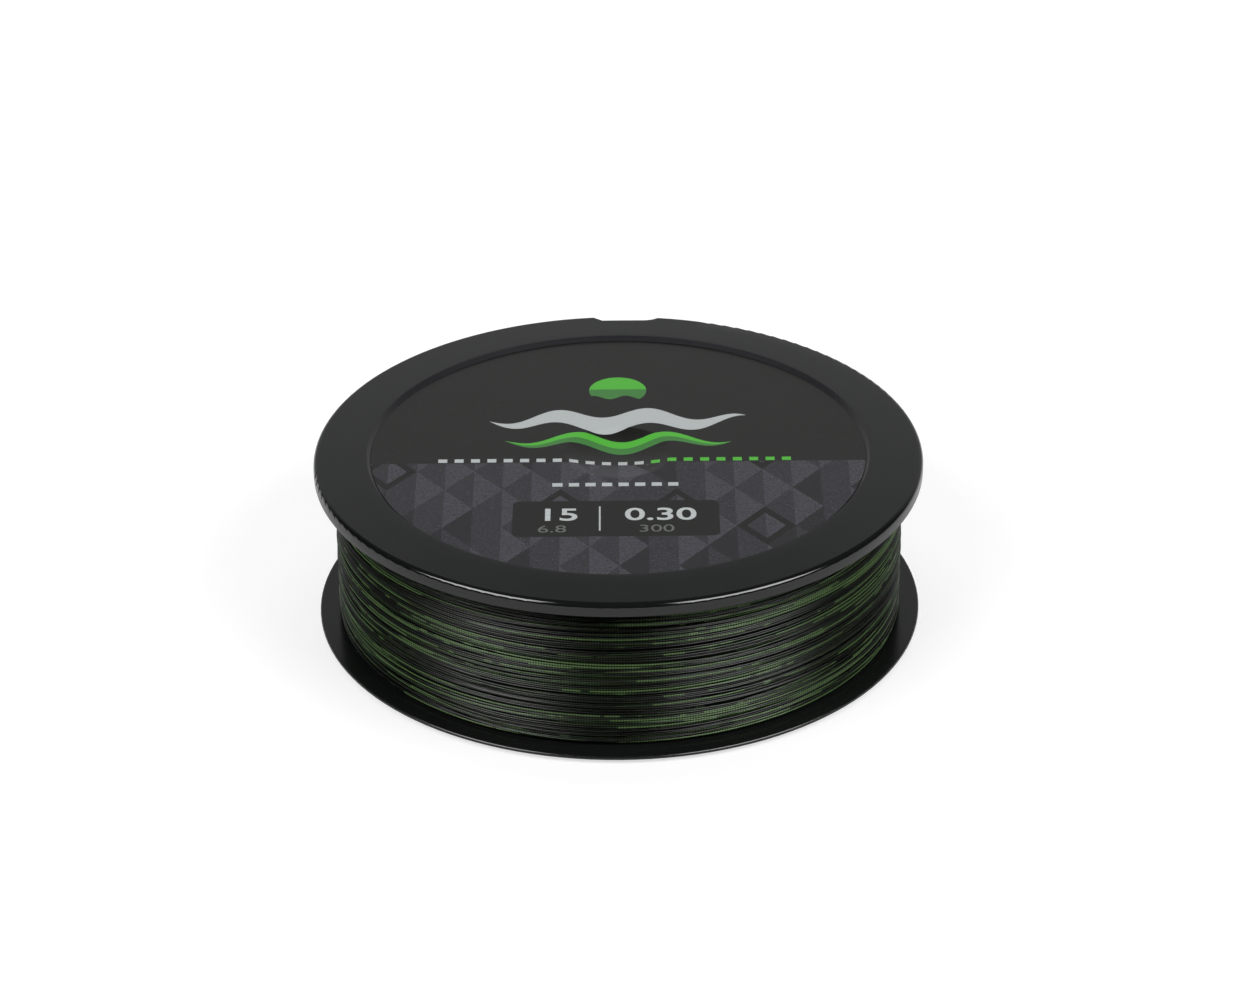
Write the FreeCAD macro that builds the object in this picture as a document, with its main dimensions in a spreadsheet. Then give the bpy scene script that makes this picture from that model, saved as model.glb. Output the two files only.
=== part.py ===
import FreeCAD, Part
import math
import os
import Sketcher
from FreeCAD import Placement, Rotation, Vector

# Fishing line spool, in millimetres. +Z is the spool's axis and the origin is the centre of its foot.
# A ribbed drum carries the line. A flange snaps on at each end, and a printed film covers the upper face.

DRIVING_SIZES = {
    "flange_diameter": 112,
    "overall_height": 32.95,
    # Drum
    "drum_diameter": 80,
    "drum_wall": 1.8,
    "bore_diameter": 18,
    "bore_wall": 1.6,
    "bore_lead": 0.8,
    "mouth_width": 1.2,
    "mouth_depth": 1.2,
    "rib_count": 8,
    "rib_thickness": 1.4,
    "rib_gap": 0.5,
    # Flanges
    "upper_plate": 2.25,
    "crown_rise": 0.45,
    "crown_land": 0.8,
    "rim_depth": 2.7,
    "rim_width": 3.2,
    "rim_round": 1.0,
    "lip_chamfer": 0.3,
    "lower_plate": 1.5,
    "lower_edge": 0.6,
    "lower_round": 0.35,
    "bevel_width": 2.5,
    "annulus_width": 9.8,
    "shoulder_width": 0.6,
    "upper_recess": 0.9,
    "lower_recess": 0.5,
    # Line notch in the upper rim
    "notch_depth": 2.45,
    "notch_left": 2.9,
    "notch_right": 5.2,
    "notch_slope": 4.3,
    "notch_curve": 3.8,
    # Snap joint between drum and flanges
    "spigot_depth": 5.0,
    "spigot_wall": 1.4,
    "snap_count": 4,
    "snap_reach": 7.0,
    "snap_angle": 12,
    "slot_angle": 2,
    "barb_reach": 1.1,
    "barb_land": 0.5,
    "barb_height": 2.2,
    "barb_lead": 0.5,
    # Printed film
    "film_thickness": 0.15,
    "film_bend": 4.0,
    "film_gap": 0.15,
    "dish_depth": 0.95,
    # Winding
    "winding_inset": 0.4,
    "line_tube": 0.8,
    "tube_sides": 4,
    "turn_gap": 0.7,
    "core_chamfer": 0.5,
    # Clearances
    "fit_gap": 0.1,
    "snap_gap": 0.15,
    "soft_gap": 0.3,
}

doc = FreeCAD.newDocument("LineSpool")


def make_sheet():
    sheet = doc.addObject("Spreadsheet::Sheet", "Sizes")
    for row, (name, size) in enumerate(DRIVING_SIZES.items(), start=1):
        sheet.set(f"A{row}", name)
        sheet.set(f"B{row}", str(size))
        sheet.setAlias(f"B{row}", name)
    doc.recompute()
    return sheet


sheet = make_sheet()


def number(formula):
    """The value of a formula over the sheet, in millimetres or degrees."""
    result = sheet.evalExpression(formula)
    return float(getattr(result, "Value", result))


# Radii that several pieces share

FLANGE_R = "(Sizes.flange_diameter / 2)"
RECESS_R = f"({FLANGE_R} - Sizes.annulus_width)"
FLOOR_R = f"({RECESS_R} - Sizes.shoulder_width)"
FILM_R = f"({FLOOR_R} - Sizes.film_gap)"
LIP_R = f"({FLANGE_R} - Sizes.rim_width)"
DRUM_R = "(Sizes.drum_diameter / 2)"
DRUM_INNER_R = f"({DRUM_R} - Sizes.drum_wall)"
BORE_R = "(Sizes.bore_diameter / 2)"
BORE_TUBE_R = f"({BORE_R} + Sizes.bore_wall)"
HUB_HOLE_R = f"({BORE_TUBE_R} + Sizes.fit_gap)"
MOUTH_R = f"({BORE_R} + Sizes.mouth_width)"
LEAD_R = f"({BORE_R} + Sizes.bore_lead)"
SPIGOT_R = f"({DRUM_INNER_R} - Sizes.snap_gap)"
SPIGOT_INNER_R = f"({SPIGOT_R} - Sizes.spigot_wall)"
WINDING_R = f"({LIP_R} - Sizes.winding_inset)"

# Heights that several pieces share

TOP = "Sizes.overall_height"
RIM_TOP = f"({TOP} - Sizes.crown_rise)"
UPPER_FLOOR = f"({TOP} - Sizes.upper_recess)"
LOWER_FLOOR = "Sizes.lower_recess"
UPPER_INNER = f"({TOP} - Sizes.upper_plate)"
LOWER_INNER = "Sizes.lower_plate"

# Depths of the snap joint from the inner face of a flange

BARB_FACE = "Sizes.snap_reach"
HOOK_TIP = f"({BARB_FACE} + Sizes.barb_height)"


def inward(side, distance):
    """Height at a distance from the inner face of the lower or upper flange, towards the other flange."""
    if side == "lower":
        return f"({LOWER_INNER} + {distance})"
    return f"({UPPER_INNER} - ({distance}))"


def new_body(name):
    body = doc.addObject("PartDesign::Body", name)
    body.Label = name
    body.Placement = Placement()
    return body


def origin_part(body, role):
    for feature in body.Origin.OriginFeatures:
        if feature.Role == role:
            return feature
    raise ValueError(role)


def arc_between(start, end, radius, way):
    """Minor arc from start to end that turns left or right as it goes."""
    chord = end - start
    sagitta_base = math.sqrt(radius ** 2 - (chord.Length / 2) ** 2)
    side = Vector(-chord.y, chord.x, 0).normalize()
    if way == "right":
        side = side * -1
    centre = (start + end) * 0.5 + side * sagitta_base
    first, last = (start, end) if way == "left" else (end, start)
    first_angle = math.atan2(first.y - centre.y, first.x - centre.x)
    last_angle = math.atan2(last.y - centre.y, last.x - centre.x)
    circle = Part.Circle(centre, Vector(0, 0, 1), radius)
    return Part.ArcOfCircle(circle, first_angle, last_angle)


def outline(body, name, role, points, turn=None):
    """Closed sketch on an origin plane.

    Each point is (x, y) in formulas. A point with two more entries, a radius and "left" or "right",
    starts an arc that turns that way. turn is a formula for an angle about the spool's axis.
    """
    sketch = body.newObject("Sketcher::SketchObject", name)
    sketch.AttachmentSupport = [(origin_part(body, role), "")]
    sketch.MapMode = "FlatFace"
    if turn:
        sketch.AttachmentOffset = Placement(Vector(), Rotation(Vector(0, 1, 0), number(turn)))
        sketch.setExpression("AttachmentOffset.Rotation.Angle", turn)
    corners = [Vector(number(point[0]), number(point[1]), 0) for point in points]
    ends = []
    for index, point in enumerate(points):
        start = corners[index]
        end = corners[(index + 1) % len(corners)]
        if len(point) == 4:
            edge = sketch.addGeometry(arc_between(start, end, number(point[2]), point[3]), False)
            radius = sketch.addConstraint(Sketcher.Constraint("Radius", edge, number(point[2])))
            sketch.setExpression(f"Constraints[{radius}]", point[2])
            ends.append((edge, 1, 2) if point[3] == "left" else (edge, 2, 1))
        else:
            edge = sketch.addGeometry(Part.LineSegment(start, end), False)
            ends.append((edge, 1, 2))
    for index, (edge, _, last) in enumerate(ends):
        next_edge, next_first, _ = ends[(index + 1) % len(ends)]
        sketch.addConstraint(Sketcher.Constraint("Coincident", edge, last, next_edge, next_first))
    for (edge, first, _), corner, point in zip(ends, corners, points):
        for kind, size, formula in (("DistanceX", corner.x, point[0]), ("DistanceY", corner.y, point[1])):
            row = sketch.addConstraint(Sketcher.Constraint(kind, -1, 1, edge, first, size))
            sketch.setExpression(f"Constraints[{row}]", formula)
    return sketch


def revolve(body, name, sketch, kind="Revolution", angle=None):
    """Full turn about the spool's axis, or a part turn centred on the sketch."""
    feature = body.newObject(f"PartDesign::{kind}", name)
    feature.Profile = sketch
    feature.ReferenceAxis = (sketch, ["V_Axis"])
    feature.Angle = 360
    if angle:
        feature.Midplane = True
        feature.setExpression("Angle", angle)
    return feature


def around(body, name, features, count):
    """The features repeated round the spool's axis."""
    pattern = body.newObject("PartDesign::PolarPattern", name)
    pattern.Originals = features
    pattern.Axis = (origin_part(body, "Z_Axis"), [""])
    pattern.Angle = 360
    pattern.setExpression("Occurrences", count)
    body.Tip = pattern
    return pattern


# Drum: bore tube, radial ribs, outer wall, and a row of snap windows at each end

def make_drum():
    body = new_body("drum")
    tube = outline(body, "bore_tube_outline", "XZ_Plane", [
        (LEAD_R, LOWER_FLOOR),
        (BORE_TUBE_R, LOWER_FLOOR),
        (BORE_TUBE_R, UPPER_FLOOR),
        (MOUTH_R, UPPER_FLOOR),
        (BORE_R, f"{UPPER_FLOOR} - Sizes.mouth_depth"),
        (BORE_R, f"{LOWER_FLOOR} + Sizes.bore_lead"),
    ])
    revolve(body, "bore_tube", tube)

    rib_inner = f"({BORE_R} + {BORE_TUBE_R}) / 2"
    rib_outer = f"({DRUM_INNER_R} + {DRUM_R}) / 2"
    rib_step = f"{SPIGOT_INNER_R} - Sizes.rib_gap"
    rib_end = "Sizes.rib_gap"
    rib_outer_end = "Sizes.spigot_depth + Sizes.rib_gap"
    rib_sketch = outline(body, "rib_outline", "XZ_Plane", [
        (rib_inner, inward("lower", rib_end)),
        (rib_step, inward("lower", rib_end)),
        (rib_step, inward("lower", rib_outer_end)),
        (rib_outer, inward("lower", rib_outer_end)),
        (rib_outer, inward("upper", rib_outer_end)),
        (rib_step, inward("upper", rib_outer_end)),
        (rib_step, inward("upper", rib_end)),
        (rib_inner, inward("upper", rib_end)),
    ], turn="180 / Sizes.rib_count")
    rib = body.newObject("PartDesign::Pad", "rib")
    rib.Profile = rib_sketch
    rib.SideType = "Symmetric"
    rib.setExpression("Length", "Sizes.rib_thickness")
    around(body, "ribs", [rib], "Sizes.rib_count")

    wall = outline(body, "wall_outline", "XZ_Plane", [
        (DRUM_INNER_R, LOWER_INNER),
        (DRUM_R, LOWER_INNER),
        (DRUM_R, UPPER_INNER),
        (DRUM_INNER_R, UPPER_INNER),
    ])
    revolve(body, "wall", wall)

    window_near = f"{BARB_FACE} - Sizes.snap_gap"
    window_far = f"{HOOK_TIP} + Sizes.snap_gap"
    window_angle = "Sizes.snap_angle + Sizes.slot_angle"
    for side in ("lower", "upper"):
        window_sketch = outline(body, f"{side}_window_outline", "XZ_Plane", [
            (f"{DRUM_INNER_R} - Sizes.drum_wall", inward(side, window_near)),
            (f"{DRUM_R} + Sizes.drum_wall", inward(side, window_near)),
            (f"{DRUM_R} + Sizes.drum_wall", inward(side, window_far)),
            (f"{DRUM_INNER_R} - Sizes.drum_wall", inward(side, window_far)),
        ])
        window = revolve(body, f"{side}_window", window_sketch, "Groove", window_angle)
        around(body, f"{side}_windows", [window], "Sizes.snap_count")
    return body


def add_snap_hooks(body, side):
    """Curved fingers on a flange, each between two slots of the spigot ring, with a barb at the tip."""
    gap_sketch = outline(body, "slot_outline", "XZ_Plane", [
        (f"{SPIGOT_INNER_R} - Sizes.spigot_wall", inward(side, "0")),
        (f"{SPIGOT_R} + Sizes.spigot_wall", inward(side, "0")),
        (f"{SPIGOT_R} + Sizes.spigot_wall", inward(side, HOOK_TIP)),
        (f"{SPIGOT_INNER_R} - Sizes.spigot_wall", inward(side, HOOK_TIP)),
    ])
    slot = revolve(body, "slot", gap_sketch, "Groove", "Sizes.snap_angle + 2 * Sizes.slot_angle")
    root = f"-(Sizes.{side}_plate - Sizes.{side}_recess) / 2"
    hook_sketch = outline(body, "hook_outline", "XZ_Plane", [
        (SPIGOT_INNER_R, inward(side, root)),
        (SPIGOT_R, inward(side, root)),
        (SPIGOT_R, inward(side, BARB_FACE)),
        (f"{SPIGOT_R} + Sizes.barb_reach", inward(side, BARB_FACE)),
        (f"{SPIGOT_R} + Sizes.barb_reach", inward(side, f"{BARB_FACE} + Sizes.barb_land")),
        (f"{SPIGOT_R} - Sizes.barb_lead", inward(side, HOOK_TIP)),
        (SPIGOT_INNER_R, inward(side, HOOK_TIP)),
    ])
    hook = revolve(body, "hook", hook_sketch, "Revolution", "Sizes.snap_angle")
    around(body, "hooks", [slot, hook], "Sizes.snap_count")


# Lower flange: thin rounded edge over a bevel, flat foot, recessed underside, spigot ring

def make_lower_flange():
    body = new_body("lower_flange")
    profile = outline(body, "flange_outline", "XZ_Plane", [
        (HUB_HOLE_R, LOWER_FLOOR),
        (FLOOR_R, LOWER_FLOOR),
        (RECESS_R, "0"),
        (f"{FLANGE_R} - Sizes.bevel_width", "0"),
        (FLANGE_R, f"{LOWER_INNER} - Sizes.lower_edge"),
        (FLANGE_R, f"{LOWER_INNER} - Sizes.lower_round", "Sizes.lower_round", "left"),
        (f"{FLANGE_R} - Sizes.lower_round", LOWER_INNER),
        (SPIGOT_R, LOWER_INNER),
        (SPIGOT_R, inward("lower", "Sizes.spigot_depth")),
        (SPIGOT_INNER_R, inward("lower", "Sizes.spigot_depth")),
        (SPIGOT_INNER_R, LOWER_INNER),
        (HUB_HOLE_R, LOWER_INNER),
    ])
    revolve(body, "flange", profile)
    add_snap_hooks(body, "lower")
    return body


# Upper flange: deep rounded rim with the line notch, low crown round the film recess, spigot ring

def make_upper_flange():
    body = new_body("upper_flange")
    rim_bottom = f"{RIM_TOP} - Sizes.rim_depth"
    profile = outline(body, "flange_outline", "XZ_Plane", [
        (HUB_HOLE_R, UPPER_FLOOR),
        (FLOOR_R, UPPER_FLOOR),
        (RECESS_R, TOP),
        (f"{RECESS_R} + Sizes.crown_land", TOP),
        (f"{FLANGE_R} - Sizes.rim_round", RIM_TOP, "Sizes.rim_round", "right"),
        (FLANGE_R, f"{RIM_TOP} - Sizes.rim_round"),
        (FLANGE_R, f"{rim_bottom} + Sizes.lip_chamfer"),
        (f"{FLANGE_R} - Sizes.lip_chamfer", rim_bottom),
        (f"{LIP_R} + Sizes.lip_chamfer", rim_bottom),
        (LIP_R, f"{rim_bottom} + Sizes.lip_chamfer"),
        (LIP_R, UPPER_INNER),
        (SPIGOT_R, UPPER_INNER),
        (SPIGOT_R, inward("upper", "Sizes.spigot_depth")),
        (SPIGOT_INNER_R, inward("upper", "Sizes.spigot_depth")),
        (SPIGOT_INNER_R, UPPER_INNER),
        (HUB_HOLE_R, UPPER_INNER),
    ])
    revolve(body, "flange", profile)
    add_snap_hooks(body, "upper")

    notch_floor = f"({FLANGE_R} - Sizes.notch_depth)"
    notch_mouth = f"({notch_floor} + Sizes.notch_curve)"
    notch_sketch = outline(body, "notch_outline", "XY_Plane", [
        ("-Sizes.notch_left", notch_floor),
        ("Sizes.notch_right", notch_floor, "Sizes.notch_curve", "left"),
        ("Sizes.notch_right + Sizes.notch_curve", notch_mouth),
        ("-Sizes.notch_left - Sizes.notch_slope", notch_mouth),
    ])
    notch = body.newObject("PartDesign::Pocket", "notch")
    notch.Profile = notch_sketch
    notch.Type = "ThroughAll"
    notch.SideType = "Symmetric"
    return body


# Printed film: it lies in the upper recess and dips into the bore's mouth

def make_top_label():
    body = new_body("top_label")
    dip = f"(2 * atan(Sizes.dish_depth / {MOUTH_R}))"
    bowl = f"(({MOUTH_R} - Sizes.film_bend * sin{dip}) / sin{dip})"
    bend_x = f"{MOUTH_R} - Sizes.film_bend * sin{dip}"
    bend_z = f"{UPPER_FLOOR} - Sizes.film_bend * (1 - cos{dip})"
    over_x = f"{bend_x} - Sizes.film_thickness * sin{dip}"
    over_z = f"{bend_z} + Sizes.film_thickness * cos{dip}"
    bottom = f"{UPPER_FLOOR} - Sizes.dish_depth"
    profile = outline(body, "film_outline", "XZ_Plane", [
        (FILM_R, UPPER_FLOOR),
        (FILM_R, f"{UPPER_FLOOR} + Sizes.film_thickness"),
        (MOUTH_R, f"{UPPER_FLOOR} + Sizes.film_thickness", "Sizes.film_bend + Sizes.film_thickness", "left"),
        (over_x, over_z, f"{bowl} - Sizes.film_thickness", "right"),
        ("0", f"{bottom} + Sizes.film_thickness"),
        ("0", bottom, bowl, "left"),
        (bend_x, bend_z, "Sizes.film_bend", "right"),
        (MOUTH_R, UPPER_FLOOR),
    ])
    revolve(body, "film", profile)
    return body


# Line: a plain core for the inner layers, and the outer layer as one unbroken tube

def make_line_core():
    body = new_body("line_core")
    inner = f"{DRUM_R} + Sizes.soft_gap"
    outer = f"({WINDING_R} - Sizes.line_tube - Sizes.soft_gap)"
    low = inward("lower", "Sizes.soft_gap")
    high = inward("upper", "Sizes.soft_gap")
    profile = outline(body, "core_outline", "XZ_Plane", [
        (inner, low),
        (f"{outer} - Sizes.core_chamfer", low),
        (outer, f"{low} + Sizes.core_chamfer"),
        (outer, f"{high} - Sizes.core_chamfer"),
        (f"{outer} - Sizes.core_chamfer", high),
        (inner, high),
    ])
    revolve(body, "core", profile)
    return body


def helix_point(radius, start_height, pitch, turns):
    angle = 2 * math.pi * turns
    return Vector(radius * math.cos(angle), radius * math.sin(angle), start_height + pitch * turns)


def helix_direction(radius, pitch, turns):
    angle = 2 * math.pi * turns
    rise = pitch / (2 * math.pi)
    return Vector(-radius * math.sin(angle), radius * math.cos(angle), rise).normalize()


def arc_with_legs(start, corner, end):
    """Arc tangent to both legs of an even-legged corner."""
    weight = (end - start).Length / (2 * (corner - start).Length)
    middle = (start + corner * (2 * weight) + end) / (2 * (1 + weight))
    return Part.Arc(start, middle, end).toShape()


def biarc(start, start_way, end, end_way):
    """Two tangent arcs from start to end that leave and arrive in the given directions."""
    chord = end - start
    both = start_way + end_way
    spread = 2 * (1 - start_way.dot(end_way))
    along = chord.dot(both)
    leg = (-along + math.sqrt(along ** 2 + spread * chord.dot(chord))) / spread
    first_corner = start + start_way * leg
    last_corner = end - end_way * leg
    joint = (first_corner + last_corner) / 2
    return [arc_with_legs(start, first_corner, joint), arc_with_legs(joint, last_corner, end)]


def tube_section(centre, way, outward, radius):
    """Regular polygon square to the tube, with one corner pointing outward."""
    sides = int(number("Sizes.tube_sides"))
    corners = [
        centre + Rotation(way, 360 * side / sides).multVec(outward) * radius
        for side in range(sides)
    ]
    return Part.makePolygon(corners + corners[:1])


def make_line_outer_layer():
    tube = number("Sizes.line_tube")
    radius = number(f"{WINDING_R} - Sizes.line_tube / 2")
    low = number(inward("lower", "Sizes.soft_gap + Sizes.line_tube / 2"))
    high = number(inward("upper", "Sizes.soft_gap + Sizes.line_tube / 2"))
    turns = int((high - low) / (tube + number("Sizes.turn_gap")))
    pitch = (high - low) / turns

    # The tube's ends run straight for one tube diameter
    first = helix_point(radius, low, pitch, 0)
    first_way = helix_direction(radius, pitch, 0)
    last = helix_point(radius, low, pitch, turns)
    last_way = helix_direction(radius, pitch, turns)
    edges = [Part.LineSegment(first - first_way * tube, first).toShape()]
    spans_per_turn = 2
    for span in range(spans_per_turn * turns):
        begin = span / spans_per_turn
        end = begin + 1 / spans_per_turn
        edges += biarc(
            helix_point(radius, low, pitch, begin), helix_direction(radius, pitch, begin),
            helix_point(radius, low, pitch, end), helix_direction(radius, pitch, end),
        )
    edges.append(Part.LineSegment(last, last + last_way * tube).toShape())
    path = Part.Wire(edges)
    section = tube_section(first - first_way * tube, first_way, Vector(1, 0, 0), tube / 2)
    winding = path.makePipeShell([section], True, False)

    print("outer layer turns:", turns, "pitch:", round(pitch, 3))
    print("least gap between turns:", round(least_gap(path, turns, tube), 3))
    print("volume over section times length:", round(winding.Volume / (path.Length * Part.Face(section).Area), 4))
    feature = doc.addObject("Part::Feature", "line_outer_layer")
    feature.Shape = winding
    feature.Label = "line_outer_layer"
    feature.Placement = Placement()
    return feature


def least_gap(path, turns, tube):
    """Least distance between points half a turn or more apart along the tube, less its diameter."""
    points_per_turn = 160
    points = path.discretize(Number=points_per_turn * turns)
    apart = points_per_turn // 2
    nearest = min(
        points[i].distanceToPoint(points[j])
        for i in range(len(points))
        for j in range(i + apart, min(i + 2 * points_per_turn, len(points)))
    )
    return nearest - tube


def check(pieces):
    for item in doc.Objects:
        if "Invalid" in item.State or "Error" in item.State:
            raise RuntimeError(f"{item.Label} failed: {item.State}")
    for piece in pieces:
        if piece.Shape.isNull() or not piece.Shape.isValid():
            raise RuntimeError(f"{piece.Label} has no valid shape")
        if len(piece.Shape.Solids) != 1:
            raise RuntimeError(f"{piece.Label} has {len(piece.Shape.Solids)} solids")


def write_steps(pieces):
    os.makedirs("parts", exist_ok=True)
    for piece in pieces:
        piece.Shape.exportStep(os.path.join("parts", f"{piece.Label}.step"))
        print(piece.Label, "volume", round(piece.Shape.Volume, 1))


pieces = [
    make_drum(),
    make_lower_flange(),
    make_upper_flange(),
    make_top_label(),
    make_line_core(),
    make_line_outer_layer(),
]
doc.recompute()
check(pieces)
write_steps(pieces)
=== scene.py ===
import math

import bpy
import numpy as np
from mathutils import Matrix, Vector


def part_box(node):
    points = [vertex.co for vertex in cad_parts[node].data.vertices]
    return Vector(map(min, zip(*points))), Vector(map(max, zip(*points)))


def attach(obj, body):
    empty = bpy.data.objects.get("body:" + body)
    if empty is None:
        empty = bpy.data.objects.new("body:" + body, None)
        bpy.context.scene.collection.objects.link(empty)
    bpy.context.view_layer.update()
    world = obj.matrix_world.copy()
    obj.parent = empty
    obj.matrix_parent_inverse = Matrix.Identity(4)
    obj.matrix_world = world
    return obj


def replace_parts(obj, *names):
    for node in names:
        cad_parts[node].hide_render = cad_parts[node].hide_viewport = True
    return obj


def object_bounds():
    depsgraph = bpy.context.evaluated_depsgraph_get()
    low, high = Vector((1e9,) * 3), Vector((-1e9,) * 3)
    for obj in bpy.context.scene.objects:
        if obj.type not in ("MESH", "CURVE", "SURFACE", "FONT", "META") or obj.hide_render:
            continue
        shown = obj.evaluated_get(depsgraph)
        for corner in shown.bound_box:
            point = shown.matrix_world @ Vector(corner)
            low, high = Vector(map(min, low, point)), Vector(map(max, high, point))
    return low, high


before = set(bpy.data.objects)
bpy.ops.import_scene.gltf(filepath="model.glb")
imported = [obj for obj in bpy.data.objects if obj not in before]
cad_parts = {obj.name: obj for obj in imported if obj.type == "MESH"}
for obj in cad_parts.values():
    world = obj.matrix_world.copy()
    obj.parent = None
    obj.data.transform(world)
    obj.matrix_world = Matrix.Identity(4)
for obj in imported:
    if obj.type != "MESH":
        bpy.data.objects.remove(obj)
cadLow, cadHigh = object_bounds()
mm = 0.001
print("frame loaded:", sorted(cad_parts))


# Camera, set from the photo's rim ellipses. The target is a point on the spool's axis

cameraView = {
    "lens": 115.2,
    "sensorWidth": 36.0,
    "elevation": 29.36,
    "roll": -0.498,
    "distance": 743.5 * mm,
    "targetHeight": 16.54 * mm,
    "imageSize": (1250, 1000),
    "targetPixel": (618.86, 526.12),
}


def makeCamera(view):
    width, height = view["imageSize"]
    pixelX, pixelY = view["targetPixel"]
    data = bpy.data.cameras.new("photoCamera")
    data.lens = view["lens"]
    data.sensor_width = view["sensorWidth"]
    data.shift_x = (width / 2 - pixelX) / width
    data.shift_y = (pixelY - height / 2) / width
    data.clip_start = 0.01
    camera = bpy.data.objects.new("photoCamera", data)
    bpy.context.scene.collection.objects.link(camera)
    elevation = math.radians(view["elevation"])
    back = Vector((0, -math.cos(elevation), math.sin(elevation)))
    up = Vector((0, math.sin(elevation), math.cos(elevation)))
    turn = Matrix((Vector((1, 0, 0)), up, back)).transposed().to_4x4()
    roll = Matrix.Rotation(math.radians(view["roll"]), 4, "Z")
    camera.matrix_world = Matrix.Translation(
        Vector((0, 0, view["targetHeight"])) + back * view["distance"]) @ turn @ roll
    bpy.context.scene.camera = camera


makeCamera(cameraView)
print("camera placed")


# Shader maths: operators on a Signal add the Math nodes

class Signal:
    def __init__(self, shader, socket):
        self.shader = shader
        self.socket = socket

    def math(self, operation, *others):
        values = dict(enumerate((self,) + others))
        return self.shader.add("ShaderNodeMath", {"operation": operation}, values)

    def __add__(self, other):
        return self.math("ADD", other)

    def __sub__(self, other):
        return self.math("SUBTRACT", other)

    def __mul__(self, other):
        return self.math("MULTIPLY", other)

    def __truediv__(self, other):
        return self.math("DIVIDE", other)

    def __rsub__(self, other):
        return self.shader.add("ShaderNodeMath", {"operation": "SUBTRACT"}, {0: other, 1: self})

    __radd__ = __add__
    __rmul__ = __mul__

    def __gt__(self, other):
        return self.math("GREATER_THAN", other)

    def __lt__(self, other):
        return self.math("LESS_THAN", other)

    def __abs__(self):
        return self.math("ABSOLUTE")

    def sine(self):
        return self.math("SINE")

    def cosine(self):
        return self.math("COSINE")

    def angleTo(self, other):
        return self.math("ARCTAN2", other)

    def root(self):
        return self.math("SQRT")

    def floor(self):
        return self.math("FLOOR")

    def fraction(self):
        return self.math("FRACT")

    def atLeast(self, other):
        return self.math("MAXIMUM", other)

    # 0 below low, 1 above high, and a smooth step between
    def rise(self, low, high):
        settings = {"interpolation_type": "SMOOTHSTEP"}
        return self.shader.add("ShaderNodeMapRange", settings, {0: self, 1: low, 2: high})


class Shader:
    def __init__(self, tree):
        self.tree = tree
        self.tree.nodes.clear()

    # A node by its type, its settings and the values or links of its sockets
    def add(self, kind, settings=None, sockets=None, output=0):
        node = self.tree.nodes.new(kind)
        for name, value in (settings or {}).items():
            if name == "stops":
                self.setStops(node.color_ramp, value)
            elif name == "steps":
                node.color_ramp.interpolation = value
            else:
                setattr(node, name, value)
        for name, value in (sockets or {}).items():
            if isinstance(value, Signal):
                self.tree.links.new(value.socket, node.inputs[name])
            else:
                node.inputs[name].default_value = value
        return Signal(self, node.outputs[output]) if node.outputs else node

    def setStops(self, ramp, stops):
        while len(ramp.elements) < len(stops):
            ramp.elements.new(1)
        for element, (place, tone) in zip(ramp.elements, stops):
            element.position = place
            element.color = tone

    def split(self, vector):
        return [self.add("ShaderNodeSeparateXYZ", None, {0: vector}, axis) for axis in range(3)]

    def join(self, x, y, z=0.0):
        return self.add("ShaderNodeCombineXYZ", None, {0: x, 1: y, 2: z})

    # The object's own coordinates, whole in metres and as x, y and z in millimetres
    def place(self):
        whole = self.add("ShaderNodeTexCoord", output="Object")
        return whole, [axis * (1 / mm) for axis in self.split(whole)]

    def noise(self, vector, scale, detail):
        return self.add("ShaderNodeTexNoise", None, {"Vector": vector, "Scale": scale, "Detail": detail})

    # A random number from 0 to 1 for each whole x and y
    def draw(self, x, y=0.0):
        return self.add("ShaderNodeTexWhiteNoise", {"noise_dimensions": "2D"}, {"Vector": self.join(x, y)})

    def mix(self, factor, first, second):
        return self.add("ShaderNodeMix", {"data_type": "RGBA"}, {0: factor, 6: first, 7: second}, output=2)

    def shade(self, tone, amount):
        return self.add("ShaderNodeVectorMath", {"operation": "MULTIPLY"}, {
            0: tone, 1: self.join(amount, amount, amount)})

    # The normal where the mask is 1 points along (x, y, z), and elsewhere it is as before
    def face(self, mask, normal, x, y, z):
        way = self.add("ShaderNodeVectorMath", {"operation": "NORMALIZE"}, {0: self.join(x, y, z)})
        return self.add("ShaderNodeMix", {"data_type": "VECTOR"}, {0: mask, 4: normal, 5: way}, output=1)

    def bump(self, height, strength, distance, normal=None):
        sockets = {"Height": height, "Strength": strength, "Distance": distance}
        if normal:
            sockets["Normal"] = normal
        return self.add("ShaderNodeBump", None, sockets)

    def surface(self, sockets):
        principled = self.add("ShaderNodeBsdfPrincipled", None, sockets)
        self.add("ShaderNodeOutputMaterial", None, {0: principled})


def newMaterial(name):
    material = bpy.data.materials.new(name)
    material.use_nodes = True
    return material, Shader(material.node_tree)


# sRGB 0 to 255 to the linear colour that Blender's sockets hold
def colour(red, green, blue):
    parts = np.array((red, green, blue)) / 255
    linear = np.where(parts <= 0.04045, parts / 12.92, ((parts + 0.055) / 1.055) ** 2.4)
    return (*linear.tolist(), 1.0)


# Moulded black plastic of the flanges and the drum. The upper rim's glossy round and the steep shoulder
# of the film's recess are shaded by formula, finer than their facets. As (outward, up), the round's normal
# is (sqrt(1 - s^2), s) with s = (z - start) / size, and the shoulder's is (-1, lean). The shoulder is also
# painted a paler grey than the plastic, painted light for the light that it catches. The round and the
# shoulder are in millimetres

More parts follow.
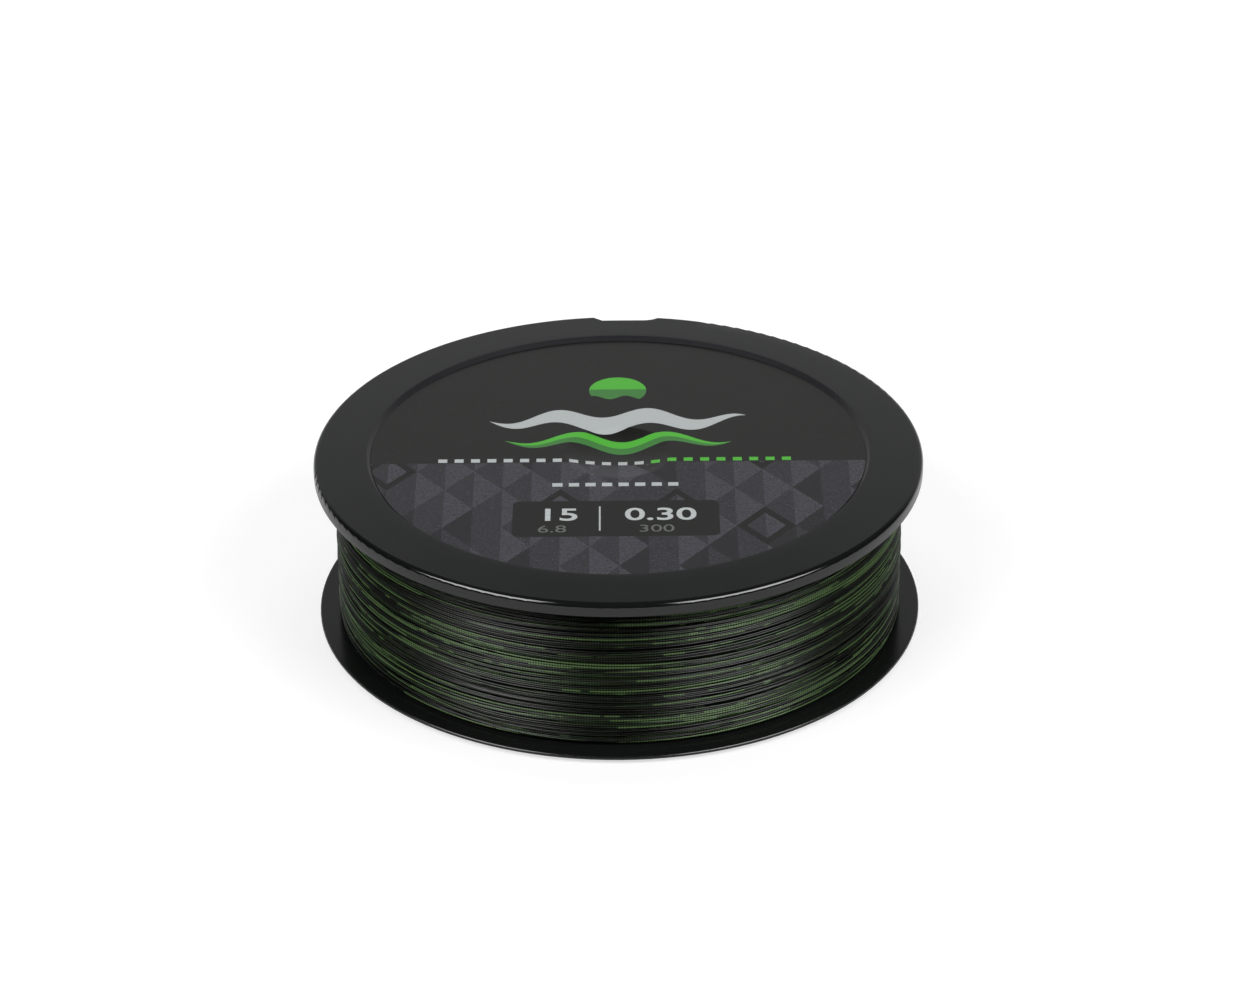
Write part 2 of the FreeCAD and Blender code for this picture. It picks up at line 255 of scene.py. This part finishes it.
plasticFinish = {
    "colour": colour(17, 18, 18),
    "paler": colour(24, 25, 25),
    "roughness": 0.16,
    "roughnessSpread": 0.1,
    "cloudScale": 60,
    "cloudDetail": 4.0,
    "grainScale": 1400,
    "grainDetail": 3.0,
    "grainStrength": 0.1,
    "grainDepth": 0.004 * mm,
    "round": {"inner": 55.0, "start": 31.5, "size": 1.0, "notchReach": 8.0, "roughness": 0.08},
    # The shoulder's colour is painted light: a paler grey than the plastic, standing in for the light the
    # shoulder catches
    "shoulder": {"inner": 45.55, "outer": 46.2, "above": 31.9, "lean": 1.5, "colour": colour(40, 40, 42)},
}


def makePlastic(finish):
    material, shader = newMaterial("blackPlastic")
    place, (x, y, z) = shader.place()
    r = (x * x + y * y).root()
    cloud = shader.noise(place, finish["cloudScale"], finish["cloudDetail"])
    grain = shader.noise(place, finish["grainScale"], finish["grainDetail"])
    bend, shoulder = finish["round"], finish["shoulder"]
    up = (z - bend["start"]) / bend["size"]
    outward = (1 - up * up).atLeast(0).root()
    inNotch = (y > 0) * (abs(x) < bend["notchReach"])
    onRound = (r > bend["inner"]) * (up > 0) * (1 - inNotch)
    onShoulder = (r > shoulder["inner"]) * (r < shoulder["outer"]) * (z > shoulder["above"])
    normal = shader.add("ShaderNodeNewGeometry", output="Normal")
    normal = shader.face(onRound, normal, x / r * outward, y / r * outward, up)
    normal = shader.face(onShoulder, normal, 0 - x / r, 0 - y / r, shoulder["lean"])
    tone = shader.mix(cloud, finish["colour"], finish["paler"])
    roughness = finish["roughness"] + finish["roughnessSpread"] * cloud
    shader.surface({
        # Painted light: the recess shoulder gets a paler grey than the rest of the plastic
        "Base Color": shader.mix(onShoulder, tone, shoulder["colour"]),
        "Roughness": roughness + onRound * (bend["roughness"] - roughness),
        "Normal": shader.bump(grain, finish["grainStrength"], finish["grainDepth"], normal),
    })
    return material


plastic = makePlastic(plasticFinish)


# Printed film: a float over two waves on near black, and below the dividing line a diamond lattice with a
# dark plate. Lengths are in millimetres from the spool's axis

film = {
    "black": colour(23, 24, 22),
    "light": colour(176, 181, 181),
    "green": colour(78, 172, 56),
    "deepGreen": colour(62, 120, 58),
    "latticeTones": (colour(30, 30, 33), colour(44, 44, 49), colour(59, 58, 65)),
    "latticeRing": colour(18, 19, 17),
    "plate": colour(19, 20, 18),
    "divide": -3.9,
    "greyWave": {"height": 12.4, "swing": 1.9, "wave": 17.0, "start": 1.5, "half": 3.1, "reach": 24.0},
    "greenWave": {"height": 4.4, "swing": 1.6, "wave": 17.0, "start": 5.0, "half": 2.2, "reach": 21.0},
    "float": {"height": 24.5, "radius": 5.4, "paler": 25.0, "water": 21.7, "ripple": 0.7, "wave": 6.0},
    "diamond": (10.5, 14.0),
    "toneShares": (0.55, 0.35),
    "toneStops": (0.15, 0.52),
    "ringChance": 0.84,
    "ringInner": 0.33,
    "plateBox": (-19.0, -31.5, 18.0, -18.5),
    "plateRound": 1.4,
    "divider": {"x": -3.4, "half": 0.15, "share": 0.34},
    "longBars": {"height": -3.0, "half": 0.65, "low": -33.0, "high": 33.0, "step": 3.0, "share": 0.55},
    "shortBars": {"height": -12.4, "half": 0.65, "low": -12.0, "high": 12.0, "step": 3.0, "share": 0.62},
    "greenFrom": 6.0,
    "speckleScale": 2600,
    "speckleTone": (0.2, 1.6),
    "speckleDepth": 0.003 * mm,
    "speckleStrength": 0.1,
    "cloudScale": 90,
    "roughness": 0.22,
    "roughnessSpread": 0.08,
}


# A wavy ribbon, 1 inside: |y - centre| < half * (1 - (x / reach)^2) with
# centre = height + swing sin(2 pi (x - start) / wave). The second mask is 1 above the centre
def ribbon(x, y, height, swing, wave, start, half, reach):
    centre = height + swing * ((x - start) * (2 * math.pi / wave)).sine()
    taper = (1 - (x / reach) * (x / reach)).atLeast(0)
    return abs(y - centre) < half * taper, y > centre


# A row of short bars, 1 inside: |y - height| < half, low < x < high and fraction of x / step < share
def barRow(x, y, height, half, low, high, step, share):
    inside = (abs(y - height) < half) * (x > low) * (x < high)
    return inside * ((x / step).fraction() < share)


def makeFilm(film):
    material, shader = newMaterial("printedFilm")
    place, (x, y, _) = shader.place()

    # Upper half: a round float over two waves
    grey, _ = ribbon(x, y, **film["greyWave"])
    green, crest = ribbon(x, y, **film["greenWave"])
    ball = film["float"]
    disc = (x * x + (y - ball["height"]) * (y - ball["height"])) < ball["radius"] ** 2
    waterline = ball["water"] + ball["ripple"] * (x * (2 * math.pi / ball["wave"])).sine()
    upper = shader.mix(grey, film["black"], film["light"])
    upper = shader.mix(green, upper, shader.mix(crest, film["deepGreen"], film["green"]))
    inks = shader.mix(y > ball["paler"], film["deepGreen"], film["green"])
    upper = shader.mix(disc * (y > waterline), upper, inks)

    # Lower half: diamonds in three tones, each with a paler right half, and some with a dark ring
    across, along = x / film["diamond"][0], y / film["diamond"][1]
    one, two = across + along, across - along
    chance = shader.draw(one.floor(), two.floor())
    edge = abs(one.fraction() - 0.5).atLeast(abs(two.fraction() - 0.5))
    byChance, byHalf = film["toneShares"]
    tone = byChance * chance + byHalf * (one.fraction() + two.fraction() > 1)
    stops = list(zip((0.0,) + film["toneStops"], film["latticeTones"]))
    lower = shader.add("ShaderNodeValToRGB", {"stops": stops, "steps": "CONSTANT"}, {0: tone})
    speckle = shader.noise(place, film["speckleScale"], 1.0)
    least, spread = film["speckleTone"]
    lower = shader.shade(lower, least + spread * speckle)
    ring = (chance > film["ringChance"]) * (edge > film["ringInner"])
    lower = shader.mix(ring, lower, film["latticeRing"])

    # Dark plate with rounded corners, and the thin line that divides it
    left, bottom, right, top = film["plateBox"]
    corner, line = film["plateRound"], film["divider"]
    fromMiddle = abs(y - (bottom + top) / 2)
    beyondX = (abs(x - (left + right) / 2) - ((right - left) / 2 - corner)).atLeast(0)
    beyondY = (fromMiddle - ((top - bottom) / 2 - corner)).atLeast(0)
    plate = (beyondX * beyondX + beyondY * beyondY) < corner ** 2
    divider = (abs(x - line["x"]) < line["half"]) * (fromMiddle < (top - bottom) * line["share"])
    lower = shader.mix(plate, lower, film["plate"])
    lower = shader.mix(divider, lower, film["light"])
    lower = shader.mix(barRow(x, y, **film["shortBars"]), lower, film["light"])

    whole = shader.mix(y < film["divide"], upper, lower)
    barInk = shader.mix(x > film["greenFrom"], film["light"], film["green"])
    whole = shader.mix(barRow(x, y, **film["longBars"]), whole, barInk)
    cloud = shader.noise(place, film["cloudScale"], 3.0)
    shader.surface({
        "Base Color": whole,
        "Roughness": film["roughness"] + film["roughnessSpread"] * cloud,
        "Normal": shader.bump(speckle, film["speckleStrength"], film["speckleDepth"]),
    })
    return material


printedFilm = makeFilm(film)


# Braided line, in lengths of green, dark green, charcoal and black. The LineRun map holds the turns wound
# and the share round the line, from its outermost point up. The coat is the sheen on a strand's upper
# outer side, round the angle sheenRise

braid = {
    "green": colour(86, 111, 70),
    "deepGreen": colour(36, 50, 30),
    "charcoal": colour(27, 32, 25),
    "black": colour(9, 12, 8),
    "lengthsPerTurn": 14.6,
    "ragged": 1.6,
    "raggedPerTurn": 70,
    "fade": 0.3,
    "patchesPerTurn": 5.0,
    "patchRange": (0.34, 0.66),
    "turnsAlike": 2.0,
    "chanceShares": (0.6, 0.4),
    "shares": (0.42, 0.57, 0.67),
    "picksPerTurn": 660,
    "picksRound": 1,
    "pickDepth": 0.05 * mm,
    "pickStrength": 0.8,
    "pickPaintedTone": (0.4, 0.9),
    "pickRoughness": 0.15,
    "paintedShadeRange": (-0.1, 0.9),
    "paintedSideShade": 0.14,
    "roughness": 0.34,
    "gloss": 0.0,
    "sheen": 0.85,
    "sheenRoughness": 0.3,
    "sheenRise": 0.93,
    "sheenRange": (0.62, 1.0),
}


def makeBraid(braid):
    material, shader = newMaterial("braidedLine")
    turns, around, _ = shader.split(shader.add("ShaderNodeUVMap", {"uv_map": "LineRun"}))

    # Each length has a dye of its own, drawn by chance and leaning to its patch of the winding. A length's
    # end runs into the next
    ragged = shader.noise(shader.join(turns * braid["raggedPerTurn"], 0.0), 1.0, 1.0)
    place = turns * braid["lengthsPerTurn"] + braid["ragged"] * ragged
    length, end = place.floor(), place.fraction().rise(1 - braid["fade"], 1)
    own, following = shader.draw(length), shader.draw(length + 1)
    own = own + end * (following - own)
    angle = turns * (2 * math.pi)
    reach = braid["patchesPerTurn"] / (2 * math.pi)
    spot = shader.join(angle.cosine() * reach, angle.sine() * reach, turns / braid["turnsAlike"])
    patch = shader.noise(spot, 1.0, 1.0).rise(*braid["patchRange"])
    ownShare, patchShare = braid["chanceShares"]
    tone = ownShare * own + patchShare * patch
    toCharcoal, toDeepGreen, toGreen = braid["shares"]
    lengths = shader.add("ShaderNodeValToRGB", {"stops": [
        (0.0, braid["black"]), (toCharcoal - 0.03, braid["black"]), (toCharcoal, braid["charcoal"]),
        (toDeepGreen - 0.02, braid["charcoal"]), (toDeepGreen, braid["deepGreen"]),
        (toGreen - 0.02, braid["deepGreen"]), (toGreen, braid["green"]),
    ]}, {0: tone})

    # Picks are the crossings of a left and a right slant. The crown is a strand's outer side, and the colour
    # is painted darker away from it towards the strand's sides, painted shade between the strands
    along = turns * braid["picksPerTurn"]
    left = (along + around * braid["picksRound"]) * math.pi
    right = (along - around * braid["picksRound"]) * math.pi
    pick = abs(left.sine()) * abs(right.sine())
    outer, upper = (around * (2 * math.pi)).cosine(), (around * (2 * math.pi)).sine()
    paintedCrownShade = outer.rise(*braid["paintedShadeRange"])
    facing = math.cos(braid["sheenRise"]) * outer + math.sin(braid["sheenRise"]) * upper
    sheen = facing.rise(*braid["sheenRange"])
    # Painted shade and highlight: the colour is darker in the valleys between picks and paler on their
    # swells
    paintedValleyShade, paintedSwellLight = braid["pickPaintedTone"]
    # Painted shade: a strand's colour is darkened towards its sides, away from the crown, where neighbouring
    # strands would shade it
    edge = braid["paintedSideShade"]
    shader.surface({
        "Base Color": shader.shade(lengths, (paintedValleyShade + paintedSwellLight * pick) * (edge + (1 - edge) * paintedCrownShade)),
        "Roughness": braid["roughness"] + braid["pickRoughness"] * (1 - pick),
        "Specular IOR Level": braid["gloss"],
        "Coat Weight": braid["sheen"] * sheen,
        "Coat Roughness": braid["sheenRoughness"],
        "Normal": shader.bump(pick, braid["pickStrength"], braid["pickDepth"]),
    })
    return material


braidedLine = makeBraid(braid)
print("materials made")


# A CAD node is loose flat facets, so its facets are joined, parted again at sharp edges and shaded smooth
# between them

shading = {"join": 0.001 * mm, "sharp": math.radians(40)}


def shadeSmooth(node):
    node.data.shade_smooth()
    node.modifiers.new("join", "WELD").merge_threshold = shading["join"]
    part = node.modifiers.new("part", "EDGE_SPLIT")
    part.split_angle = shading["sharp"]
    part.use_edge_sharp = False
    node.modifiers.new("level", "WEIGHTED_NORMAL")


for name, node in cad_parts.items():
    node.data.materials.clear()
    node.data.materials.append(printedFilm if name == "top_label" else plastic)
    if name not in ("line_core", "line_outer_layer"):
        shadeSmooth(node)


# Places of a tube's two end caps in its maps, out of the way of the rest
capSpots = {"first": (0.992, 0.992), "last": (0.98, 0.992), "radius": 0.002}


# A mesh from a grid of points, rows x columns x 3. A map gives a UV pair at each corner of the grid, with
# one more column round a closed side, or is a function of the corners' rows and columns. Caps close the
# first and the last row
def gridMesh(name, points, material, closedRows=False, closedColumns=False, maps=None, caps=False):
    rows, columns = points.shape[:2]
    i, j = np.meshgrid(
        np.arange(rows if closedRows else rows - 1),
        np.arange(columns if closedColumns else columns - 1),
        indexing="ij",
    )
    cornerRows = np.stack([i, i, i + 1, i + 1], axis=-1).reshape(-1, 4)
    cornerColumns = np.stack([j, j + 1, j + 1, j], axis=-1).reshape(-1, 4)
    faces = ((cornerRows % rows) * columns + cornerColumns % columns).tolist()
    if caps:
        faces.append(list(range(columns)))
        faces.append(list(range((rows - 1) * columns, rows * columns))[::-1])
    mesh = bpy.data.meshes.new(name)
    mesh.from_pydata(points.reshape(-1, 3).tolist(), [], faces)
    for mapName, layout in (maps or {}).items():
        pairs = layout(cornerRows, cornerColumns) if callable(layout) else layout[cornerRows, cornerColumns]
        pairs = pairs.reshape(-1, 2)
        if caps:
            ring = np.arange(columns) * 2 * math.pi / columns
            spot = capSpots["radius"] * np.stack([np.cos(ring), np.sin(ring)], axis=1)
            pairs = np.vstack([pairs, capSpots["first"] + spot, capSpots["last"] + spot[::-1]])
        layer = mesh.uv_layers.new(name=mapName)
        layer.data.foreach_set("uv", pairs.astype(np.float32).ravel())
    mesh.materials.append(material)
    mesh.shade_smooth()
    mesh.update()
    piece = bpy.data.objects.new(name, mesh)
    bpy.context.scene.collection.objects.link(piece)
    return piece


# The winding fills the space of its CAD nodes: inner turns, an under layer wound downwards and a top layer
# wound upwards, whose line hops over its neighbours here and there

coreLow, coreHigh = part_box("line_core")
winding = {
    "line": 0.36 * mm,
    "radius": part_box("line_outer_layer")[1].x,
    "low": coreLow.z,
    "high": coreHigh.z,
    "stepsPerTurn": 156,
    "sides": 6,
    "swayRates": (1, 4),
    "swayDrift": 0.06,
    "jitterRates": (0.3, 1.8),
    "liftRates": (0.4, 2.3),
    "hopWidths": (0.12, 0.4),
    "calmLines": 4,
    "mapShare": 0.9,
}
underLayer = {
    "name": "line_under_layer", "turns": 66, "upwards": False, "depth": 0.46 * mm, "lift": 0.05 * mm,
    "sway": 0.30 * mm, "jitter": 0.14 * mm, "hops": 10, "hopHeight": (0.4 * mm, 1.2 * mm), "seed": 5,
}
topLayer = {
    "name": "line_top_layer", "turns": 66, "upwards": True, "depth": 0.13 * mm, "lift": 0.06 * mm,
    "sway": 0.45 * mm, "jitter": 0.17 * mm, "hops": 40, "hopHeight": (0.5 * mm, 1.7 * mm), "seed": 11,
}


# Smooth wander: a sum of sines of the turns wound, with random phases, scaled to about +-1
def wander(turns, rng, rates):
    rate = np.asarray(rates)[:, None]
    phase = rng.uniform(0, 2 * math.pi, len(rates))[:, None]
    return np.sin(2 * math.pi * rate * turns + phase).sum(axis=0) / (0.6 * len(rates))


# Tube round a line about the Z axis. Centre = (r cos t, r sin t, z) and
# ring = centre + half (cos a outward + sin a across)
def strandTube(turns, radius, height, line, sides):
    angle = 2 * math.pi * turns
    centre = np.stack([radius * np.cos(angle), radius * np.sin(angle), height], axis=1)
    outward = np.stack([np.cos(angle), np.sin(angle), np.zeros_like(angle)], axis=1)
    way = np.gradient(centre, axis=0)
    across = np.cross(outward, way)
    across /= np.linalg.norm(across, axis=1)[:, None]
    outward = np.cross(way, across)
    outward /= np.linalg.norm(outward, axis=1)[:, None]
    ring = 2 * math.pi * np.arange(sides) / sides
    return centre[:, None] + line / 2 * (
        np.cos(ring)[None, :, None] * outward[:, None] + np.sin(ring)[None, :, None] * across[:, None])


# Height = even rise + sway that neighbouring turns share + jitter of their own + hops, all calmer near the
# flanges. A hop is a raised cosine h (1 + cos(pi (t - t0) / w)) / 2 for |t - t0| < w, and it lifts the line
# clear of the turns that it crosses
def makeWoundLayer(layer):
    rng = np.random.default_rng(layer["seed"])
    steps, sides, line = winding["stepsPerTurn"], winding["sides"], winding["line"]
    turns = np.arange(layer["turns"] * steps + 1) / steps
    low, high = winding["low"] + line / 2, winding["high"] - line / 2
    share = turns / layer["turns"]
    even = low + (high - low) * (share if layer["upwards"] else 1 - share)
    drift = winding["swayDrift"]
    shared = wander(turns, rng, rng.integers(*winding["swayRates"], 5) + rng.uniform(-drift, drift, 5))
    own = wander(turns, rng, rng.uniform(*winding["jitterRates"], 9))
    start = rng.uniform(1, layer["turns"] - 1, layer["hops"])[:, None]
    width = rng.uniform(*winding["hopWidths"], layer["hops"])[:, None]
    hump = 0.5 + 0.5 * np.cos(np.pi * np.clip((turns - start) / width, -1, 1))
    reach = rng.uniform(*layer["hopHeight"], layer["hops"]) * rng.choice([-1, 1], layer["hops"])
    free = np.clip(np.minimum(even - low, high - even) / (winding["calmLines"] * line), 0, 1)
    hops = (reach[:, None] * hump).sum(axis=0)
    height = even + free * (layer["sway"] * shared + layer["jitter"] * own + hops)
    depth = layer["depth"] - layer["lift"] * wander(turns, rng, rng.uniform(*winding["liftRates"], 9))
    depth = np.clip(depth * (1 - hump.max(axis=0)), 0, None)
    points = strandTube(turns, winding["radius"] - line / 2 - depth, np.clip(height, low, high), line, sides)

    # The bake map lays each turn in a row of its own
    def bake(rows, columns):
        turn = rows[:, :1] // steps
        rowPlace = (turn + winding["mapShare"] * columns / sides) / (layer["turns"] + 1)
        return np.stack([(rows - turn * steps) / steps, rowPlace], axis=-1)

    run = np.stack(np.broadcast_arrays(turns[:, None], np.arange(sides + 1)[None] / sides), axis=-1)
    piece = gridMesh(layer["name"], points, braidedLine, False, True, {"LineRun": run, "OFBake": bake}, True)
    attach(piece, "root")
    return piece


makeWoundLayer(underLayer)
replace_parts(makeWoundLayer(topLayer), "line_outer_layer")
print("outer layers wound")


# Inner turns: a ring whose outer face has one ridge for each turn

innerTurns = {"ridges": 66, "innerRadius": 40.3 * mm, "depth": 0.62 * mm, "ridge": 0.1 * mm, "steps": 144}


def makeInnerTurns(inner):
    ridges, steps = inner["ridges"], inner["steps"]
    count = np.linspace(0, ridges, ridges * 2 + 1)
    z = winding["low"] + (winding["high"] - winding["low"]) * count / ridges
    r = winding["radius"] - inner["depth"] - inner["ridge"] * np.cos(math.pi * count) ** 2
    r = np.concatenate([[inner["innerRadius"]], r, [inner["innerRadius"]]])
    z = np.concatenate([[winding["low"]], z, [winding["high"]]])
    angle = 2 * math.pi * np.arange(steps) / steps
    points = np.stack(np.broadcast_arrays(
        r[None] * np.cos(angle)[:, None], r[None] * np.sin(angle)[:, None], z[None]), axis=-1)
    turn = np.concatenate([[0], count, [ridges, ridges + 1]])[None]
    run = np.stack(np.broadcast_arrays(np.arange(steps + 1)[:, None] / steps + turn, turn), axis=-1)
    piece = gridMesh("line_inner_turns", points, braidedLine, True, True, {"LineRun": run})
    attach(piece, "root")
    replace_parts(piece, "line_core")


makeInnerTurns(innerTurns)
print("inner turns made")


# Numbers printed on the plate. Each is flat text made a mesh, laid just above the film. A number has its
# piece's name, its text, its place, its size and its extra weight in millimetres, and its ink

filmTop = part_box("top_label")[1].z
printing = {
    "halfThickness": 0.006 * mm,
    "above": 0.008 * mm,
    "widen": 1.22,
    "dimInk": colour(92, 96, 92),
    "cloudScale": 400,
    "paler": 1.12,
    "roughnessSpread": 0.1,
}
numbers = [
    ("number_15", "15", (-14.6, -25.6), 6.2, 0.09, "light"),
    ("number_6_8", "6.8", (-14.6, -29.9), 3.6, 0.0, "dim"),
    ("number_0_30", "0.30", (1.0, -25.6), 6.2, 0.09, "light"),
    ("number_300", "300", (3.4, -29.9), 3.6, 0.0, "dim"),
]


def makeInk(name, tone):
    material, shader = newMaterial(name)
    place, _ = shader.place()
    cloud = shader.noise(place, printing["cloudScale"], 3.0)
    paler = tuple(min(1.0, part * printing["paler"]) for part in tone[:3]) + (1.0,)
    shader.surface({
        "Base Color": shader.mix(cloud, tone, paler),
        "Roughness": film["roughness"] + printing["roughnessSpread"] * cloud,
    })
    return material


inks = {"light": makeInk("lightInk", film["light"]), "dim": makeInk("dimInk", printing["dimInk"])}


def makeNumber(name, text, place, size, bold, ink):
    data = bpy.data.curves.new(name, "FONT")
    data.body = text
    data.size = size * mm
    data.offset = bold * mm
    data.extrude = printing["halfThickness"]
    writing = bpy.data.objects.new(name + "_text", data)
    bpy.context.scene.collection.objects.link(writing)
    bpy.context.view_layer.update()
    mesh = bpy.data.meshes.new_from_object(writing.evaluated_get(bpy.context.evaluated_depsgraph_get()))
    bpy.data.objects.remove(writing)
    move = Matrix.Translation((place[0] * mm, place[1] * mm, filmTop + printing["above"]))
    mesh.transform(move @ Matrix.Diagonal((printing["widen"], 1.0, 1.0, 1.0)))
    mesh.materials.clear()
    mesh.materials.append(inks[ink])
    piece = bpy.data.objects.new(name, mesh)
    bpy.context.scene.collection.objects.link(piece)
    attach(piece, "root")


for number in numbers:
    makeNumber(*number)
print("numbers printed")


# Floor, lamps and world: a pale table before white. Reflections see a dim backdrop that falls off to a dark
# ceiling, and two bright boxes at the front left and right. A box is its turn from the front and half its
# width, both in radians, and its rise and half its height, both as the z of the direction

studio = {
    "white": (1.0, 1.0, 1.0, 1.0),
    "floorSize": 3.0,
    "floorRows": 9,
    "floorColour": (0.4, 0.4, 0.4, 1.0),
    "floorRoughness": 0.75,
    "floorGlow": 0.66,
    "floorShine": 0.6,
    "backdrop": 0.34,
    "backdropSide": (0.45, 0.8),
    "backdropTop": (0.49, 0.76),
    "worldLight": 0.08,
    "boxes": [(-0.98, 0.42, 0.65, 0.18), (0.91, 0.49, 0.65, 0.18)],
    "boxFade": (0.08, 0.05),
    "boxLight": 10.5,
    "lamps": [
        ("softboxLeft", (-0.62, -0.58, 0.85), (0.7, 0.5), 7.4),
        ("softboxRight", (0.71, -0.46, 0.85), (0.7, 0.5), 7.4),
        ("softboxTop", (0, 0.4, 1.1), (0.9, 0.5), 4.5),
    ],
}


def seenRays(shader):
    kinds = ("Camera", "Glossy", "Transmission")
    return [shader.add("ShaderNodeLightPath", output=f"Is {kind} Ray") for kind in kinds]


def makeFloor(studio):
    side = np.linspace(-studio["floorSize"] / 2, studio["floorSize"] / 2, studio["floorRows"])
    x, y = np.meshgrid(side, side)
    points = np.stack([x, y, np.full_like(x, cadLow.z)], axis=-1)
    material, shader = newMaterial("paleTable")
    camera, glossy, through = seenRays(shader)
    surface = shader.add("ShaderNodeBsdfPrincipled", None, {
        "Base Color": studio["floorColour"], "Roughness": studio["floorRoughness"]})
    seen = camera.atLeast(studio["floorShine"] * glossy).atLeast(through)
    glow = shader.add("ShaderNodeEmission", None, {
        "Color": studio["white"], "Strength": studio["floorGlow"] * seen})
    both = shader.add("ShaderNodeAddShader", None, {0: surface, 1: glow})
    shader.add("ShaderNodeOutputMaterial", None, {0: both})
    gridMesh("table", points, material)


def makeWorld(studio):
    world = bpy.data.worlds.new("studio")
    bpy.context.scene.world = world
    world.use_nodes = True
    shader = Shader(world.node_tree)
    camera, glossy, through = seenRays(shader)
    x, y, z = shader.split(shader.add("ShaderNodeTexCoord", output="Generated"))
    behind = y.rise(*studio["backdropSide"])
    reflected = studio["backdrop"] * behind * (1 - z.rise(*studio["backdropTop"]))
    turn = x.angleTo(0 - y)
    fade, fadeUp = studio["boxFade"]
    for centre, half, rise, halfRise in studio["boxes"]:
        sideways = 1 - abs(turn - centre).rise(half - fade, half + fade)
        upwards = 1 - abs(z - rise).rise(halfRise - fadeUp, halfRise + fadeUp)
        reflected = reflected + studio["boxLight"] * sideways * upwards
    plain = shader.add("ShaderNodeBackground", None, {
        "Color": studio["white"], "Strength": studio["worldLight"]})
    white = shader.add("ShaderNodeBackground", None, {
        "Color": studio["white"], "Strength": camera.atLeast(through).atLeast(reflected)})
    seen = camera.atLeast(glossy).atLeast(through)
    both = shader.add("ShaderNodeMixShader", None, {0: seen, 1: plain, 2: white})
    shader.add("ShaderNodeOutputWorld", None, {0: both})


def addLamp(name, place, size, power):
    data = bpy.data.lights.new(name, "AREA")
    data.shape = "RECTANGLE"
    data.size, data.size_y = size
    data.energy = power
    lamp = bpy.data.objects.new(name, data)
    bpy.context.scene.collection.objects.link(lamp)
    lamp.location = place
    lamp.rotation_euler = (-Vector(place)).to_track_quat("-Z", "Y").to_euler()
    lamp.visible_glossy = False


makeFloor(studio)
makeWorld(studio)
for lamp in studio["lamps"]:
    addLamp(*lamp)
bpy.context.scene.view_settings.view_transform = "Standard"
print("studio lit")
